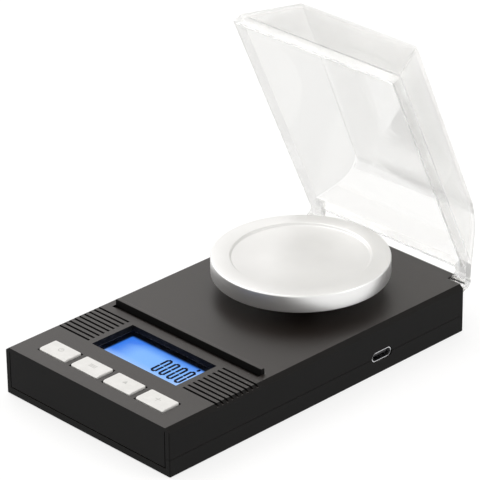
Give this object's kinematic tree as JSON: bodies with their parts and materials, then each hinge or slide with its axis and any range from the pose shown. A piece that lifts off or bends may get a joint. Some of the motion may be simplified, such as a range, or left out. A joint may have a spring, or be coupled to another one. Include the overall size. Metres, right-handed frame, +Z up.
{
  "type": "digital gram scale",
  "caption": "Pocket gram scale: flat black case with display and keys, round metal pan on a post, and a clear hinged hood that closes over the pan.",
  "frame": {"origin": "centre of the case's plan on the surface it stands on", "axes": "+X to the user's right, +Y away from the user towards the hinge, +Z up"},
  "size_m": [0.076, 0.1488, 0.102],
  "materials": {
    "case_plastic": "fine texture",
    "key_plastic": "satin",
    "hood_plastic": "clear, polished",
    "pan_metal": "satin",
    "steel": "plated",
    "socket_metal": "polished",
    "rubber": "matt",
    "board": "lacquered",
    "package": "matt",
    "moulding": "satin",
    "display_glass": "polished",
    "light_guide": "lit from behind",
    "foam": "open foam",
    "beam_metal": "milled",
    "gauge_film": "amber film",
    "battery_foil": "pouch foil",
    "insulation": "smooth",
    "dome_metal": "sprung sheet"
  },
  "bodies": {
    "case": {"bottom_cover": "case_plastic", "top_cover": "case_plastic", "case_screws": "steel", "rubber_feet": "rubber", "hinge_pin": "steel", "main_board": "board", "board_screws": "steel", "controller_chip": "package", "converter_chip": "package", "clock_crystal": "socket_metal", "switch_housings": "package", "switch_domes": "dome_metal", "lcd_frame": "moulding", "lcd_front_glass": "display_glass", "lcd_rear_glass": "display_glass", "lcd_backlight": "light_guide", "contact_strip": "rubber", "window_gasket": "foam", "load_cell": "beam_metal", "load_cell_screws": "steel", "strain_gauges": "gauge_film", "overload_screw": "steel", "battery_cell": "battery_foil", "battery_pad": "foam", "charge_board": "board", "charge_chip": "package", "usb_shell": "socket_metal", "usb_tongue": "package", "cell_leads": "insulation", "battery_leads": "insulation", "charge_leads": "insulation"},
    "lid": {"lid": "hood_plastic"},
    "support": {"pan_support": "moulding", "post_screw": "steel"},
    "pan": {"weighing_pan": "pan_metal"},
    "key_1": {"button_1": "key_plastic", "switch_plunger_1": "package"},
    "key_2": {"button_2": "key_plastic", "switch_plunger_2": "package"},
    "key_3": {"button_3": "key_plastic", "switch_plunger_3": "package"},
    "key_4": {"button_4": "key_plastic", "switch_plunger_4": "package"}
  },
  "joints": [
    {"name": "lid_hinge", "type": "hinge", "parent": "case", "child": "lid", "pos_m": [0, 0.0698, 0.01585], "axis": [-1, 0, 0], "range_deg": [-65.8, 33]},
    {"name": "pan_press", "type": "slide", "parent": "case", "child": "support", "axis": [0, 0, -1], "range_m": [0, 0.0004], "stiffness_N_per_m": 5000, "springref_m": -0.0001, "deforming": ["load_cell", "cell_leads", "strain_gauges"]},
    {"name": "pan_lift", "type": "slide", "parent": "support", "child": "pan", "axis": [0, 0, 1], "range_m": [0, 0.02]},
    {"name": "key_1_press", "type": "slide", "parent": "case", "child": "key_1", "axis": [0, 0, -1], "range_m": [0, 0.0004], "stiffness_N_per_m": 1500, "springref_m": -0.0002},
    {"name": "key_2_press", "type": "slide", "parent": "case", "child": "key_2", "axis": [0, 0, -1], "range_m": [0, 0.0004], "stiffness_N_per_m": 1500, "springref_m": -0.0002},
    {"name": "key_3_press", "type": "slide", "parent": "case", "child": "key_3", "axis": [0, 0, -1], "range_m": [0, 0.0004], "stiffness_N_per_m": 1500, "springref_m": -0.0002},
    {"name": "key_4_press", "type": "slide", "parent": "case", "child": "key_4", "axis": [0, 0, -1], "range_m": [0, 0.0004], "stiffness_N_per_m": 1500, "springref_m": -0.0002}
  ]
}
